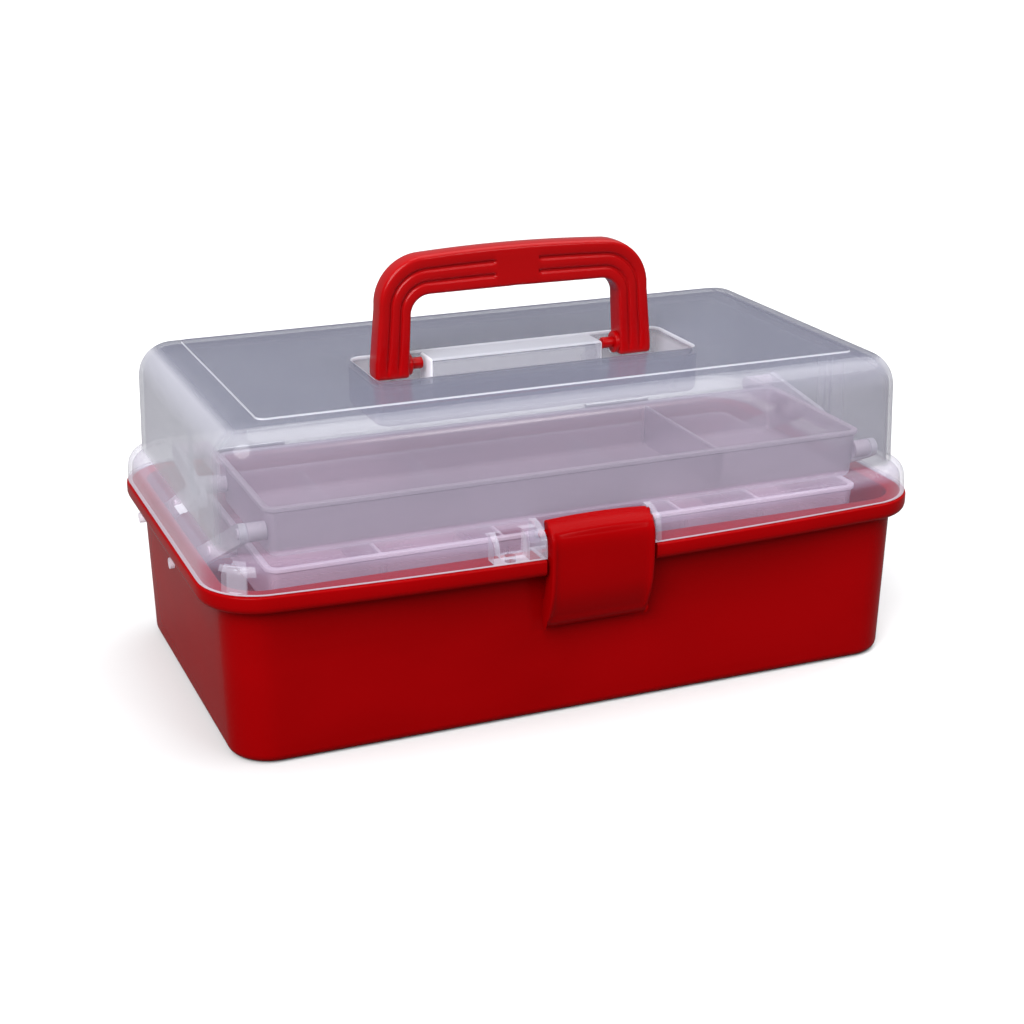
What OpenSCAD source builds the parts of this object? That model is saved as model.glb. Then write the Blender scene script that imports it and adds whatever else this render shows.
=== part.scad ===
// Sewing box with a clear lid and two cantilever trays that rise as the lid opens.
// X runs along the length, Y from the front to the back, Z up. The origin is on the
// table under the middle of the tub.

/* [Tub] */
// Length of the tub below its rim
tub_length = 316; // [300:1:318]
// Depth of the tub, front to back, below its rim
tub_depth = 173; // [172:1:178]
// Height of the top of the tub's rim
rim_top = 77.3; // [74:0.1:80]
// Thickness of the tub walls
tub_wall = 2.2; // [1.6:0.1:2.6]
// Corner radius of the tub in plan
tub_corner = 19; // [14:1:20]
// Height of the outer face of the rim
rim_height = 7.8; // [6:0.1:10]

/* [Rim and lid edge] */
// Length over the rim
rim_length = 331.4; // [330:0.2:334]
// Depth over the rim at its straight ends
rim_depth = 186.4; // [185.4:0.2:187.4]
// How far the front of the rim bulges at its middle
front_bulge = 5.5; // [4:0.5:6]
// Corner radius of the rim in plan
rim_corner = 27.2; // [24:0.2:30]
// How far the rim stands out past the lid edge
rim_step = 0.7; // [0.4:0.1:1]

/* [Lid] */
// Length of the lid above its skirt
lid_length = 314.8; // [312:0.2:318]
// Depth of the lid above its skirt
lid_depth = 167.6; // [167:0.2:169]
// Height of the lid's top face
lid_top = 142; // [140:1:146]
// Wall thickness of the lid
lid_wall = 2; // [1.6:0.1:2.2]
// Height of the skirt's shoulder
shoulder_top = 91.5; // [90:0.5:92]
// Radius of the lid's upper edges
lid_edge = 15; // [12:1:18]
// Depth of the handle pocket
pocket_depth = 17.7; // [16:0.1:18]

/* [Handle] */
// Length over the handle's legs at the pivots
handle_length = 134; // [130:1:136]
// Height of the top of the grip
handle_top = 189.8; // [186:0.2:192]
// Thickness of the handle, front to back
handle_thickness = 11.5; // [10:0.5:11.5]

/* [Trays] */
// Length of both trays
tray_length = 277; // [272:1:277]
// Height of both trays
tray_height = 22; // [20:0.5:22]
// Depth of the upper tray
upper_depth = 80; // [78:1:82]
// Depth of the lower tray
lower_depth = 127; // [124:1:128]
// Wall thickness of the trays
tray_wall = 1.6; // [1.2:0.1:1.8]

/* [Arms] */
// Length of each arm from the tub pivot to the upper tray pivot
arm_reach = 93.5; // [92:0.5:95]
// Angle of the arms above the horizontal with the lid shut
arm_angle = 26.2; // [25.8:0.1:26.6]
// Width of the arms
arm_width = 8.4; // [7:0.2:8.4]

/* [Latch] */
// Width of the latch
latch_width = 47.4; // [44:0.2:47.4]
// Thickness of the latch's front wall
latch_wall = 3; // [2.4:0.2:3.4]

/* [Hidden] */

$fn = 64;
red = "firebrick";
clear = "lightsteelblue";
steel = "silver";
eps = 0.01;

// gap between the lid edge and the rim, and between parts that slide past each other
seat_gap = 0.3;
// clearance of a turning pin, all round
pin_gap = 0.05;

lid_base = rim_top + seat_gap;
rim_bottom = rim_top - rim_height;
skirt_length = rim_length - 2 * rim_step;
skirt_depth = rim_depth - 2 * rim_step;
skirt_corner = rim_corner - rim_step;
floor_thickness = 2.4;
foot_radius = 4;

// lid hinge
hinge_y = skirt_depth / 2 + 5;
hinge_z = rim_top + 0.15;
knuckle_r = 4;
knuckle_x = 100;
knuckle_w = 12;
hinge_pin_r = 1.5;

// tub pivots of the arms and the tray pivots along each arm
front_pivot_y = 12.9;
rear_pivot_y = 76.5;
pivot_z = 56;
lower_share = 0.371;
arm_inner_x = 145.3;
arm_thickness = 3;
arm_pin_r = 2.5;
tray_pin_r = 2.2;
nub_end = 159.6;

// trays
tray_front = -77;
upper_floor = 86;
lower_floor = 60;
tray_corner = 6;
boss_r = 4;
lip = 1.2;
lower_dividers = [-88.5, -34, 50.5, 89.5];
upper_divider_x = 68;
divider_t = 1.4;

// lid links, from the boss on the lid's end wall to the ear on the upper tray
link_lid = [-21, 97];
link_tray = [24.5, 102.8];
link_inner_x = 149.4;
link_t = 2.4;
link_r = 4.6;
link_play = 0.7;

// handle pocket and pivot
pocket_x = 75;
pocket_front = -35;
pocket_back = 7;
pocket_floor = lid_top - pocket_depth;
step_front = -6.5;
lug_outer = 49.2;
lug_inner = 42;
handle_y = -0.3;
handle_z = 139.3;
leg_inner = 51.4;
lug_r = 6;
handle_pin_r = 2.6;

// latch
latch_y = -93;
latch_z = 87.4;
latch_pin_r = 1.6;
// back of the rim's notch, which the latch's cheeks clear as the lid swings
latch_seat = -88.8;
latch_cheek = 2.6;
// side view of the latch, from its top edge down the bowed front and up behind its cheeks
latch_side = [
    [-89.8, 92.4], [-94.5, 91], [-97.4, 89.2], [-99.3, 86.8], [-100.3, 84], [-100.5, 76], [-100.3, 68],
    [-99.4, 60], [-97, 53], [-93.8, 46.6], [-91, 43.2], [-88.4, 45], [-88.4, 54], [-92, 61.7],
    [-92.3, 80], [-91, 86]
];
// the hollow between its cheeks
latch_hollow = [
    [-97.4, 83], [-97.4, 68], [-96.5, 60.6], [-94.2, 54.2], [-91, 48], [-87, 42], [-80, 42], [-80, 83]
];
notch_half = 25;
notch_wall = 2;

// padlock eye
eye_x = -40;
eye_half = 6;
eye_y = -93.4;

// one quarter of a circle or any other arc, as points
function arc(c, r, a0, a1, n = 8) =
    [for (i = [0:n]) c + r * [cos(a0 + (a1 - a0) * i / n), sin(a0 + (a1 - a0) * i / n)]];

// rounded rectangle whose front side bulges out by b at its middle
function outline(w, d, r, b = 0) = concat(
    arc([w / 2 - r, d / 2 - r], r, 0, 90),
    arc([r - w / 2, d / 2 - r], r, 90, 180),
    arc([r - w / 2, r - d / 2], r, 180, 270),
    b > 0 ? [for (i = [1:15]) let (x = (i / 8 - 1) * (w / 2 - r))
        [x, -d / 2 - b * (1 - pow(x / (w / 2 - r), 2))]] : [],
    arc([w / 2 - r, r - d / 2], r, 270, 360)
);

module rounded(w, d, r, b = 0) {
    polygon(outline(w, d, r, b));
}

// plate of the given outline between two heights
module slab(w, d, r, z0, z1, b = 0) {
    translate([0, 0, z0])
        linear_extrude(z1 - z0)
            rounded(w, d, r, b);
}

// box with upright corners rv and upper edges re
module crowned(w, d, rv, re, z0, z1) {
    intersection() {
        slab(w, d, rv, z0, z1);
        translate([0, 500, 0])
            rotate([90, 0, 0])
                linear_extrude(1000)
                    profile(w, re, z0, z1);
        translate([-500, 0, 0])
            rotate([90, 0, 90])
                linear_extrude(1000)
                    profile(d, re, z0, z1);
    }
}

module profile(w, re, z0, z1) {
    polygon(concat(
        [[-w / 2, z0], [w / 2, z0]],
        arc([w / 2 - re, z1 - re], re, 0, 90),
        arc([re - w / 2, z1 - re], re, 90, 180)
    ));
}

// cylinder along X between two places
module rod(x0, x1, y, z, r) {
    translate([min(x0, x1), y, z])
        rotate([0, 90, 0])
            cylinder(h = abs(x1 - x0), r = r);
}

module box(x0, x1, y0, y1, z0, z1) {
    translate([x0, y0, z0])
        cube([x1 - x0, y1 - y0, z1 - z0]);
}

// both ends of the box: the children and their mirror image
module both_ends() {
    children();
    mirror([1, 0, 0])
        children();
}

module tub_shell() {
    difference() {
        union() {
            mirror([0, 0, 1])
                crowned(tub_length, tub_depth, tub_corner, foot_radius, -rim_top + eps, 0);
            slab(rim_length, rim_depth, rim_corner, rim_bottom, rim_top, front_bulge);
        }
        slab(tub_length - 2 * tub_wall, tub_depth - 2 * tub_wall, tub_corner - tub_wall,
            floor_thickness, rim_top + 1);
    }
}

module tub_knuckles() {
    for (s = [-1, 1], k = [-1, 1])
        translate([s * knuckle_x + k * (knuckle_w + seat_gap), 0, 0])
            difference() {
                union() {
                    rod(-knuckle_w / 2, knuckle_w / 2, hinge_y, hinge_z, knuckle_r);
                    box(-knuckle_w / 2, knuckle_w / 2, hinge_y - 7, hinge_y, rim_bottom, rim_top - eps);
                }
                rod(-knuckle_w, knuckle_w, hinge_y, hinge_z, hinge_pin_r + pin_gap);
            }
}

module base_tub() {
    color(red) {
        difference() {
            tub_shell();
            box(-notch_half - 0.5, notch_half + 0.5, -120, latch_seat, rim_bottom - 1, rim_top + 1);
            translate([eye_x, eye_y, rim_bottom - 1])
                cylinder(h = rim_height + 2, r = 2.4);
            both_ends()
                for (y = [front_pivot_y, rear_pivot_y])
                    rod(150, 170, y, pivot_z, arm_pin_r + pin_gap);
        }
        tub_knuckles();
    }
}

module lid_shell() {
    step = 3;
    difference() {
        union() {
            slab(skirt_length, skirt_depth, skirt_corner, lid_base, shoulder_top - step, front_bulge);
            slab(skirt_length - 5, skirt_depth - 5, skirt_corner - 3, shoulder_top - step - eps,
                shoulder_top, front_bulge - 1);
            crowned(lid_length, lid_depth, 16, lid_edge, lid_base, lid_top);
            slab(274, 134, 6, lid_top - 1, lid_top + 0.8);
        }
        slab(skirt_length - 2 * lid_wall, skirt_depth - 2 * lid_wall, skirt_corner - lid_wall,
            lid_base - 1, shoulder_top - step - 0.6, front_bulge);
        slab(skirt_length - 5 - 2 * lid_wall, skirt_depth - 5 - 2 * lid_wall,
            skirt_corner - 3 - lid_wall, lid_base, shoulder_top - lid_wall, front_bulge - 1);
        crowned(lid_length - 2 * lid_wall, lid_depth - 2 * lid_wall, 16 - lid_wall,
            lid_edge - lid_wall, lid_base - 1, lid_top - lid_wall);
    }
}

// the handle pocket: an outer box that hangs under the top, and the hollow cut from it
module pocket_block(grow) {
    w = 2 * (pocket_x + grow);
    d = pocket_back - pocket_front + 2 * grow;
    translate([0, (pocket_front + pocket_back) / 2, 0])
        slab(w, d, 5 + grow, pocket_floor - grow, grow > 0 ? lid_top - 1 : lid_top + 2);
}

module pocket_step() {
    difference() {
        box(-lug_inner, lug_inner, step_front, pocket_back + 2, pocket_floor - 1, lid_top);
        box(lid_wall - lug_inner, lug_inner - lid_wall, step_front + lid_wall, pocket_back + 3,
            pocket_floor - 2, lid_top - lid_wall);
    }
}

module handle_lugs() {
    both_ends()
        difference() {
            union() {
                rod(lug_inner - 1, lug_outer, handle_y, handle_z, lug_r);
                box(lug_inner - 1, lug_outer, handle_y - lug_r, handle_y + lug_r,
                    pocket_floor - 1, handle_z);
            }
            rod(lug_inner + 1.5, lug_outer + 1, handle_y, handle_z, handle_pin_r + pin_gap);
        }
}

module latch_notch() {
    box(-notch_half, notch_half, -120, -lid_depth / 2, lid_base - 1, shoulder_top + 2);
}

// closes the lid behind the latch
module notch_back() {
    y = -lid_depth / 2;
    box(-notch_half - notch_wall, notch_half + notch_wall, y - 0.4, y + lid_wall, lid_base, shoulder_top - 1);
}

module latch_cheeks() {
    both_ends()
        difference() {
            intersection() {
                box(notch_half, notch_half + notch_wall, -110, -lid_depth / 2 + 1, lid_base, shoulder_top);
                slab(skirt_length, skirt_depth, skirt_corner, lid_base, shoulder_top, front_bulge);
            }
            latch_bores();
        }
}

module latch_bores() {
    both_ends()
        rod(notch_half - 1, notch_half + 4, latch_y, latch_z, latch_pin_r + pin_gap);
}

module eye_recess() {
    box(eye_x - eye_half, eye_x + eye_half, -120, -90.5, lid_base + 2.4, shoulder_top + 2);
    translate([eye_x, eye_y, lid_base - 2])
        cylinder(h = 10, r = 2.4);
}

module eye_walls() {
    intersection() {
        box(eye_x - eye_half - lid_wall, eye_x + eye_half + lid_wall, -110, -88.5, lid_base, shoulder_top);
        slab(skirt_length, skirt_depth, skirt_corner, lid_base, shoulder_top, front_bulge);
    }
}

module end_wall_boss() {
    inner = lid_length / 2 - lid_wall;
    both_ends() {
        rod(link_inner_x + link_t + seat_gap, inner + 1, link_lid[0], link_lid[1], link_r);
        rod(link_inner_x - 0.2, inner + 1, link_lid[0], link_lid[1], tray_pin_r);
        for (y = [link_lid[0] - 3, link_lid[0] + 1.8])
            box(inner - 1.6, inner + 1, y, y + 1.2, link_lid[1] + link_r - 1, lid_top - lid_edge);
    }
}

module lid_knuckles() {
    for (s = [-1, 1])
        translate([s * knuckle_x, 0, 0])
            difference() {
                union() {
                    rod(-knuckle_w / 2, knuckle_w / 2, hinge_y, hinge_z, knuckle_r);
                    box(-knuckle_w / 2, knuckle_w / 2, hinge_y - 6.5, hinge_y, hinge_z + 0.6, hinge_z + 7);
                }
                rod(-knuckle_w, knuckle_w, hinge_y, hinge_z, hinge_pin_r + pin_gap);
            }
}

module lid_cover() {
    color(clear, 0.5) {
        difference() {
            union() {
                difference() {
                    lid_shell();
                    latch_notch();
                }
                pocket_block(lid_wall);
                eye_walls();
            }
            difference() {
                pocket_block(0);
                box(-lug_inner, lug_inner, step_front, 20, 0, lid_top);
            }
            box(lid_wall - lug_inner, lug_inner - lid_wall, step_front + lid_wall,
                pocket_back + lid_wall + 1, pocket_floor - 5, lid_top - lid_wall);
            eye_recess();
            latch_bores();
        }
        notch_back();
        latch_cheeks();
        handle_lugs();
        end_wall_boss();
        lid_knuckles();
    }
}

module hinge_pin(s) {
    color(steel)
        translate([s * knuckle_x, 0, 0])
            rod(-1.5 * knuckle_w, 1.5 * knuckle_w, hinge_y, hinge_z, hinge_pin_r);
}

module hinge_pin_left() {
    hinge_pin(-1);
}

module hinge_pin_right() {
    hinge_pin(1);
}

// half of the handle's side view, from the foot of one leg to the middle of the grip
function handle_outer(s) = concat(
    [[s * handle_length / 2, handle_z]],
    [for (p = arc([42, handle_top - 23], 22, 0, 90)) [s * p[0], p[1]]],
    [[0, handle_top]]
);
function handle_inner(s) = concat(
    [[s * leg_inner, handle_z - 1]],
    [for (p = arc([41.5, handle_top - 28.4], 9, 0, 90)) [s * p[0], p[1]]],
    [[0, handle_top - 18.4]]
);
function reversed(p) = [for (i = [len(p) - 1:-1:0]) p[i]];

module carry_handle() {
    half = handle_thickness / 2;
    color(red) {
        translate([0, handle_y + half, 0])
            rotate([90, 0, 0])
                linear_extrude(handle_thickness)
                    difference() {
                        polygon(concat(handle_outer(1), reversed(handle_outer(-1))));
                        polygon(concat(handle_inner(1), reversed(handle_inner(-1))));
                    }
        both_ends() {
            rod(leg_inner, handle_length / 2, handle_y, handle_z, half);
            rod(lug_outer + seat_gap, leg_inner + 1, handle_y, handle_z, 5);
            rod(lug_inner + 2, leg_inner + 1, handle_y, handle_z, handle_pin_r);
        }
    }
}

// a side view drawn in Y and Z, extruded along X over the given half width
module across(points, half) {
    translate([-half, 0, 0])
        rotate([90, 0, 90])
            linear_extrude(2 * half)
                polygon(points);
}

module front_latch() {
    half = latch_width / 2;
    color(red) {
        difference() {
            across(latch_side, half);
            translate([0, 3 - latch_wall, 0])
                across(latch_hollow, half - latch_cheek);
        }
        box(-12, 12, -98, -92.3, rim_bottom - 3.4, rim_bottom - 1);
        both_ends()
            rod(half - 1, notch_half + 1.8, latch_y, latch_z, latch_pin_r);
    }
}

// an open tray with a lip, slots for its dividers and bosses on its ends
module tray(depth, floor_z, slots) {
    mid = tray_front + depth / 2;
    inner = depth - 2 * tray_wall;
    difference() {
        translate([0, mid, 0]) {
            slab(tray_length - 2 * lip, depth - 2 * lip, tray_corner - lip, floor_z, floor_z + tray_height);
            slab(tray_length, depth, tray_corner, floor_z + tray_height - 2, floor_z + tray_height);
        }
        translate([0, mid, 0])
            slab(tray_length - 2 * lip - 2 * tray_wall, depth - 2 * lip - 2 * tray_wall,
                tray_corner - lip - tray_wall, floor_z + tray_wall, floor_z + tray_height + 1);
    }
    for (x = slots, k = [-1, 1], e = [-1, 1])
        translate([x + k * (divider_t / 2 + 0.75), mid + e * (inner / 2 - lip - 0.4), floor_z + 1])
            linear_extrude(tray_height - 3.5)
                square([1.2, 1.6], center = true);
}

module tray_boss(y, z) {
    both_ends() {
        rod(tray_length / 2 - lip - 0.5, arm_inner_x - seat_gap, y, z, boss_r);
        rod(tray_length / 2, arm_inner_x + arm_thickness + 0.7, y, z, tray_pin_r);
    }
}

// place of a pivot that lies a share of the way along the arm from tub pivot y
function along(y, share) = [
    y - arm_reach * share * cos(arm_angle),
    pivot_z + arm_reach * share * sin(arm_angle)
];

module lower_tray() {
    color(clear, 0.5) {
        tray(lower_depth, lower_floor, lower_dividers);
        for (y = [front_pivot_y, rear_pivot_y])
            tray_boss(along(y, lower_share)[0], along(y, lower_share)[1]);
    }
}

module upper_tray() {
    end = tray_length / 2;
    color(clear, 0.5) {
        tray(upper_depth, upper_floor, [upper_divider_x]);
        for (y = [front_pivot_y, rear_pivot_y])
            tray_boss(along(y, 1)[0], along(y, 1)[1]);
        both_ends() {
            box(end - lip - 1.5, end + 1.5, -9, link_tray[0], link_tray[1] - boss_r, link_tray[1] + boss_r);
            rod(end - lip - 1.5, link_inner_x - seat_gap, link_tray[0], link_tray[1], boss_r);
            rod(end, link_inner_x + link_t + 0.1, link_tray[0], link_tray[1], tray_pin_r - 0.2);
        }
    }
}

// flat bar between two points of the end view, with round ends and holes
module bar(p, q, r, x0, t, holes) {
    turn = atan2(q[1] - p[1], q[0] - p[0]);
    translate([x0, 0, 0])
        rotate([90, 0, 90])
            linear_extrude(t)
                difference() {
                    polygon(concat(arc(q, r, turn - 90, turn + 90, 12), arc(p, r, turn + 90, turn + 270, 12)));
                    for (h = holes)
                        translate([h[0], h[1]])
                            circle(h[2]);
                }
}

module arm(y) {
    foot = [y, pivot_z];
    tip = along(y, 1);
    mid = along(y, lower_share);
    hole = tray_pin_r + pin_gap;
    color(clear, 0.5) {
        bar(foot, tip, arm_width / 2, arm_inner_x, arm_thickness,
            [[mid[0], mid[1], hole], [tip[0], tip[1], hole]]);
        rod(arm_inner_x + arm_thickness - 0.5, nub_end, y, pivot_z, arm_pin_r);
    }
}

module front_arm_left() {
    mirror([1, 0, 0])
        arm(front_pivot_y);
}

module front_arm_right() {
    arm(front_pivot_y);
}

module rear_arm_left() {
    mirror([1, 0, 0])
        arm(rear_pivot_y);
}

module rear_arm_right() {
    arm(rear_pivot_y);
}

module lid_link() {
    color(clear, 0.5)
        bar(link_lid, link_tray, link_r, link_inner_x, link_t,
            [[link_lid[0], link_lid[1], tray_pin_r + pin_gap],
             [link_tray[0], link_tray[1], tray_pin_r - 0.2 + link_play]]);
}

module lid_link_left() {
    mirror([1, 0, 0])
        lid_link();
}

module lid_link_right() {
    lid_link();
}

module divider(x, depth, floor_z) {
    color(clear, 0.5)
        box(x - divider_t / 2, x + divider_t / 2,
            tray_front + lip + tray_wall + 0.15, tray_front + depth - lip - tray_wall - 0.15,
            floor_z + tray_wall + 0.05, floor_z + tray_height - 1.5);
}

module lower_divider_1() {
    divider(lower_dividers[0], lower_depth, lower_floor);
}

module lower_divider_2() {
    divider(lower_dividers[1], lower_depth, lower_floor);
}

module lower_divider_3() {
    divider(lower_dividers[2], lower_depth, lower_floor);
}

module lower_divider_4() {
    divider(lower_dividers[3], lower_depth, lower_floor);
}

module upper_divider() {
    divider(upper_divider_x, upper_depth, upper_floor);
}

base_tub();
lid_cover();
hinge_pin_left();
hinge_pin_right();
carry_handle();
front_latch();
lower_tray();
upper_tray();
front_arm_left();
front_arm_right();
rear_arm_left();
rear_arm_right();
lid_link_left();
lid_link_right();
lower_divider_1();
lower_divider_2();
lower_divider_3();
lower_divider_4();
upper_divider();
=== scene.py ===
import bpy
import bmesh
import math
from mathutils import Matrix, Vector


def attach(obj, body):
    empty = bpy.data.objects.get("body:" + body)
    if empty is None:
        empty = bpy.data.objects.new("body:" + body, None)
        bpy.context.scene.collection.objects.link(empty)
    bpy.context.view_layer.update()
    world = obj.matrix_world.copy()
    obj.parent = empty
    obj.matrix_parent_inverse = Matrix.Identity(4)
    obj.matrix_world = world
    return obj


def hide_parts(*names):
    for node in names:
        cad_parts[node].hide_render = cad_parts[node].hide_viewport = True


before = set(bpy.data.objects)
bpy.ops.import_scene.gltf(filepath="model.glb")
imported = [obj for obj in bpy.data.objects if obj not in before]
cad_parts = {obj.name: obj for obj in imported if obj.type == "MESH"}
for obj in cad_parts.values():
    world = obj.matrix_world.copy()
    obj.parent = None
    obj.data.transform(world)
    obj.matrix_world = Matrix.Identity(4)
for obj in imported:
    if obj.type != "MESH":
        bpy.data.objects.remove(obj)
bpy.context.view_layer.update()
mm = 0.001
print("frame loaded")


# small tools for modelling

def deselectAll():
    if bpy.context.object and bpy.context.object.mode != "OBJECT":
        bpy.ops.object.mode_set(mode="OBJECT")
    bpy.ops.object.select_all(action="DESELECT")


def pick(piece):
    deselectAll()
    piece.select_set(True)
    bpy.context.view_layer.objects.active = piece


def bakePlace(piece, name):
    # the object goes back to the origin and its place goes into its mesh
    piece.name = piece.data.name = name
    pick(piece)
    bpy.ops.object.transform_apply(location=True, rotation=True, scale=True)
    return piece


def useModifier(piece, kind, **settings):
    pick(piece)
    modifier = piece.modifiers.new(kind.title(), kind)
    for key, value in settings.items():
        setattr(modifier, key, value)
    bpy.ops.object.modifier_apply(modifier=modifier.name)


def combine(piece, tool, operation):
    # boolean with a second piece, which is used up
    useModifier(piece, "BOOLEAN", operation=operation, object=tool, solver="EXACT")
    bpy.data.objects.remove(tool, do_unlink=True)
    return piece


def cut(piece, *tools):
    for tool in tools:
        combine(piece, tool, "DIFFERENCE")
    return piece


def fuse(piece, *tools):
    for tool in tools:
        combine(piece, tool, "UNION")
    return piece


def joinPieces(pieces):
    pick(pieces[0])
    for piece in pieces[1:]:
        piece.select_set(True)
    bpy.ops.object.join()
    return bpy.context.object


def fixNormals(piece):
    pick(piece)
    bpy.ops.object.mode_set(mode="EDIT")
    bpy.ops.mesh.select_all(action="SELECT")
    bpy.ops.mesh.remove_doubles(threshold=0.00001)
    bpy.ops.mesh.normals_make_consistent(inside=False)
    bpy.ops.object.mode_set(mode="OBJECT")


def smooth(piece, angle=32):
    pick(piece)
    bpy.ops.object.shade_smooth_by_angle(angle=math.radians(angle))


def block(name, low, high, bevel=0.0, segments=3):
    # a bevelled block between two corners, in millimetres
    size = [(b - a) * mm for a, b in zip(low, high)]
    middle = [(a + b) / 2 * mm for a, b in zip(low, high)]
    deselectAll()
    bpy.ops.mesh.primitive_cube_add(size=1, location=middle)
    piece = bpy.context.object
    piece.scale = size
    bakePlace(piece, name)
    if bevel:
        bpy.ops.object.mode_set(mode="EDIT")
        bpy.ops.mesh.select_all(action="SELECT")
        bpy.ops.mesh.bevel(offset=bevel * mm, segments=segments, affect="EDGES")
        bpy.ops.object.mode_set(mode="OBJECT")
    return piece


def rod(name, x0, x1, y, z, radius, bevel=0.0, sides=32):
    # a turned rod along X with bevelled rims
    deselectAll()
    bpy.ops.mesh.primitive_cylinder_add(
        vertices=sides, radius=radius * mm, depth=abs(x1 - x0) * mm,
        location=((x0 + x1) / 2 * mm, y * mm, z * mm), rotation=(0, math.pi / 2, 0))
    piece = bakePlace(bpy.context.object, name)
    if bevel:
        bpy.ops.object.mode_set(mode="EDIT")
        bpy.ops.mesh.select_all(action="DESELECT")
        edit = bmesh.from_edit_mesh(piece.data)
        for edge in edit.edges:
            edge.select = any(len(face.verts) > 4 for face in edge.link_faces)
        edit.select_flush_mode()
        bpy.ops.mesh.bevel(offset=bevel * mm, segments=3, affect="EDGES")
        bpy.ops.object.mode_set(mode="OBJECT")
    return piece


def ringPoint(index, ring, counts):
    # point number index of a rounded rectangle (width, depth, corner, height, bulge, shift)
    width, depth, corner, height, bulge, shift = ring
    nCorner, nShort, nLong = counts
    sides = [(nShort, 0), (nCorner, 0), (nLong, 1), (nCorner, 1),
             (nShort, 2), (nCorner, 2), (nLong, 3), (nCorner, 3)]
    for number, (count, side) in enumerate(sides):
        if index < count:
            break
        index -= count
    share = index / count
    halfX, halfY = width / 2 - corner, depth / 2 - corner
    cornerX = [halfX, -halfX, -halfX, halfX][side]
    cornerY = [halfY, halfY, -halfY, -halfY][side]
    if number % 2:
        angle = math.radians(90 * (side + share))
        x = cornerX + corner * math.cos(angle)
        y = cornerY + corner * math.sin(angle)
    else:
        run = [(width / 2, -halfY, width / 2, halfY), (halfX, depth / 2, -halfX, depth / 2),
               (-width / 2, halfY, -width / 2, -halfY), (-halfX, -depth / 2, halfX, -depth / 2)][side]
        x = run[0] + (run[2] - run[0]) * share
        y = run[1] + (run[3] - run[1]) * share
        if side == 3:
            y -= bulge * (1 - (x / halfX) ** 2)
    return Vector((x * mm, (y + shift) * mm, height * mm))


def loft(name, rings, pointOf, total, closeEnds=True):
    # a closed skin drawn by extruding one ring of edges through all the others
    deselectAll()
    bpy.ops.mesh.primitive_circle_add(vertices=total, radius=0.01, fill_type="NOTHING")
    piece = bpy.context.object
    piece.name = piece.data.name = name
    bpy.ops.object.mode_set(mode="EDIT")
    bpy.ops.mesh.select_all(action="SELECT")
    edit = bmesh.from_edit_mesh(piece.data)
    edit.verts.ensure_lookup_table()
    place = {}
    for index, vertex in enumerate(edit.verts):
        vertex.co = pointOf(index, rings[0])
        place[vertex] = index
    if closeEnds:
        bpy.ops.mesh.edge_face_add()
        edit = bmesh.from_edit_mesh(piece.data)
        edit.verts.ensure_lookup_table()
        place = {edit.verts[i]: i for i in range(total)}
    for ring in rings[1:]:
        for face in edit.faces:
            face.select = False
        for vertex in place:
            vertex.select = True
        for edge in edit.edges:
            edge.select = edge.verts[0] in place and edge.verts[1] in place
        bpy.ops.mesh.extrude_edges_move()
        edit = bmesh.from_edit_mesh(piece.data)
        fresh = {}
        for vertex in edit.verts:
            if vertex.select and vertex not in place:
                for edge in vertex.link_edges:
                    other = edge.other_vert(vertex)
                    if other in place:
                        fresh[vertex] = place[other]
        for vertex, index in fresh.items():
            vertex.co = pointOf(index, ring)
        place = fresh
    if closeEnds:
        bpy.ops.mesh.edge_face_add()
    bpy.ops.object.mode_set(mode="OBJECT")
    deselectAll()
    fixNormals(piece)
    return bakePlace(piece, name)


def shellLoft(name, rings, counts=(10, 12, 40)):
    total = 4 * counts[0] + 2 * counts[1] + 2 * counts[2]
    return loft(name, rings, lambda index, ring: ringPoint(index, ring, counts), total)


def ring(width, depth, corner, height, bulge=0.0, shift=0.0):
    return (width, depth, max(corner, 0.3), height, bulge, shift)


def bend(start, end, steps, acrossFirst):
    # a quarter round between two rings
    between = []
    for step in range(1, steps + 1):
        turn = math.pi / 2 * step / steps
        across = math.sin(turn) if acrossFirst else 1 - math.cos(turn)
        rise = 1 - math.cos(turn) if acrossFirst else math.sin(turn)
        between.append(tuple(a + (b - a) * (rise if i == 3 else across)
                             for i, (a, b) in enumerate(zip(start, end))))
    return between


# shader tools

class Wire:
    # wraps one socket so that shader maths reads as arithmetic
    def __init__(self, tree, socket):
        self.tree = tree
        self.socket = socket

    def maths(self, operation, first, second):
        node = self.tree.nodes.new("ShaderNodeMath")
        node.operation = operation
        for number, value in enumerate((first, second)):
            if isinstance(value, Wire):
                self.tree.links.new(value.socket, node.inputs[number])
            else:
                node.inputs[number].default_value = value
        return Wire(self.tree, node.outputs[0])

    def __add__(self, other):
        return self.maths("ADD", self, other)

    def __radd__(self, other):
        return self.maths("ADD", other, self)

    def __sub__(self, other):
        return self.maths("SUBTRACT", self, other)

    def __rsub__(self, other):
        return self.maths("SUBTRACT", other, self)

    def __mul__(self, other):
        return self.maths("MULTIPLY", self, other)

    def __rmul__(self, other):
        return self.maths("MULTIPLY", other, self)

    def __pow__(self, other):
        return self.maths("POWER", self, other)


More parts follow.
